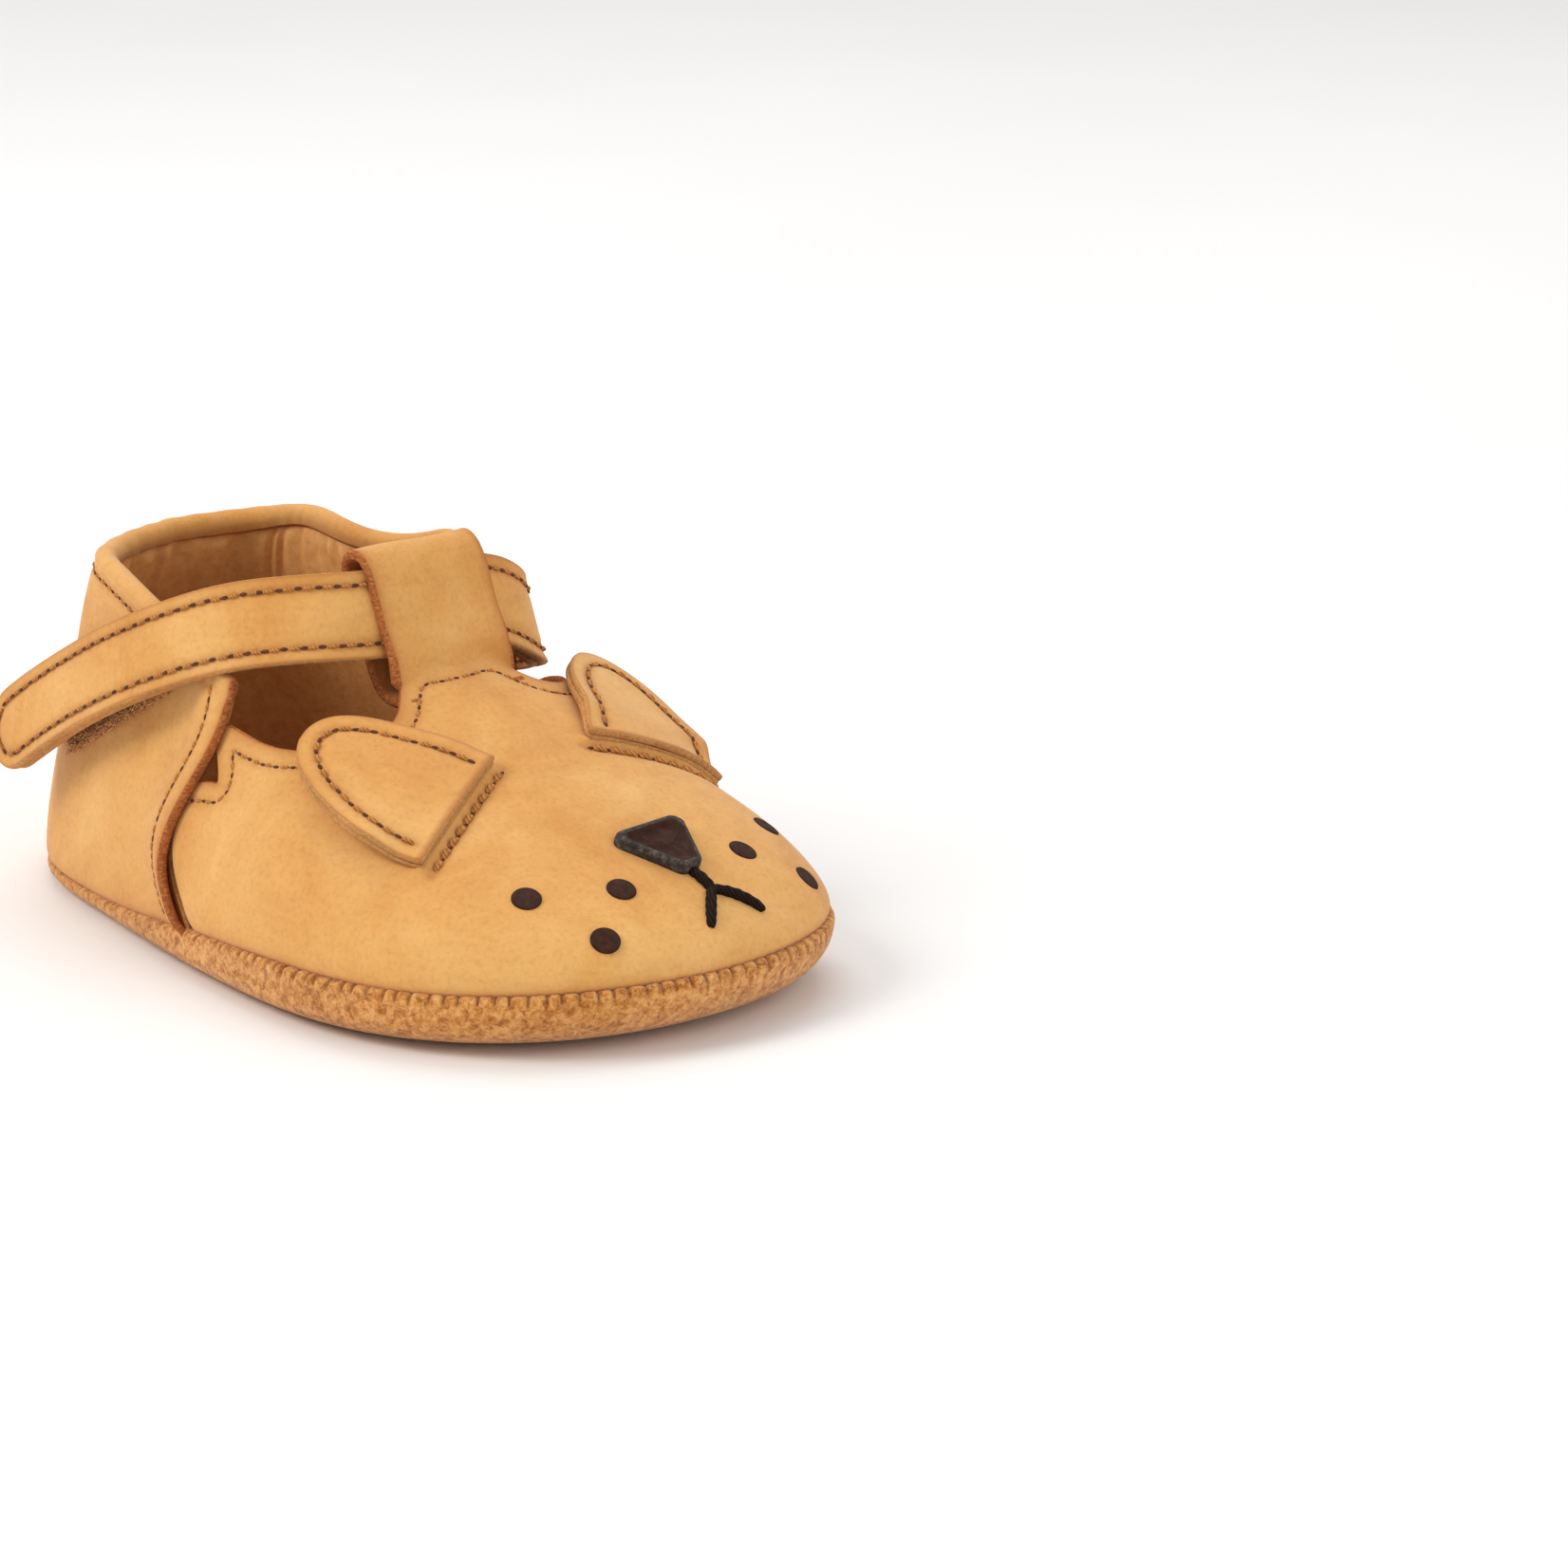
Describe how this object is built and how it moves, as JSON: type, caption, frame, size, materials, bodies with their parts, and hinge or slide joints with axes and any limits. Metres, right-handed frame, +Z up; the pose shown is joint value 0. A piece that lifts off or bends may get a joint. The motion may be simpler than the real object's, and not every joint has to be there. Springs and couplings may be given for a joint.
{
  "type": "baby bootie",
  "caption": "Soft-sole leather T-bar baby bootie with an animal face, hook-and-loop strap, side ring and standing ears; right foot.",
  "frame": {"origin": "on the flat of the sole at mid-length, on the ground plane", "axes": "+X towards the toe, +Y towards the big-toe (medial) side, +Z up"},
  "size_m": [0.1219, 0.066, 0.0484],
  "materials": {
    "nubuck": "soft nubuck, ochre",
    "sole_suede": "grainy suede, ochre brown",
    "lining_leather": "thin leather, flesh side",
    "insole_leather": "smooth leather",
    "foam": "soft foam sheet",
    "elastic": "woven elastic tape",
    "ring_metal": "pale warm nickel",
    "hook_tape": "hook tape",
    "loop_tape": "fuzzy loop tape",
    "dark_leather": "dark brown leather",
    "dark_thread": "thick dark thread",
    "stitching": "brown sewing thread"
  },
  "bodies": {
    "shoe": {"outsole": "sole_suede", "midsole_foam": "foam", "insole": "insole_leather", "vamp": "nubuck", "vamp_lining": "lining_leather", "heel_quarter": "nubuck", "quarter_lining": "lining_leather", "collar_elastic": "elastic", "ring_tab": "nubuck", "strap_ring_loop": "nubuck", "strap_band": "nubuck", "strap_band_lining": "lining_leather", "loop_patch": "loop_tape", "nose": "dark_leather", "mouth_embroidery": "dark_thread", "spots": "dark_leather"},
    "strap_free_end": {"strap_end": "nubuck", "strap_end_lining": "lining_leather", "hook_patch": "hook_tape"},
    "side_ring": {"ring": "ring_metal"},
    "lateral_ear": {"ear_lateral_back": "nubuck", "ear_lateral_front": "nubuck"},
    "medial_ear": {"ear_medial_back": "nubuck", "ear_medial_front": "nubuck"}
  },
  "joints": [
    {"name": "strap_end_lift", "type": "hinge", "parent": "shoe", "child": "strap_free_end", "pos_m": [0.00631, -0.0062, 0.0416], "axis": [-0.33, 0, 0.944], "range_deg": [0, 85]},
    {"name": "ring_swing", "type": "hinge", "parent": "shoe", "child": "side_ring", "pos_m": [-0.02101, 0.02476, 0.02697], "axis": [0.3389, 0.2634, -0.9032], "range_deg": [-6, 6]},
    {"name": "ear_lateral_flap", "type": "hinge", "parent": "shoe", "child": "lateral_ear", "pos_m": [0.0269, -0.00584, 0.02821], "axis": [-0.3855, 0.836, 0.3905], "range_deg": [0, 60], "stiffness_Nm_per_rad": 0.002},
    {"name": "ear_medial_flap", "type": "hinge", "parent": "shoe", "child": "medial_ear", "pos_m": [0.02592, 0.01174, 0.02857], "axis": [0.1128, 0.891, -0.4398], "range_deg": [0, 60], "stiffness_Nm_per_rad": 0.002}
  ]
}
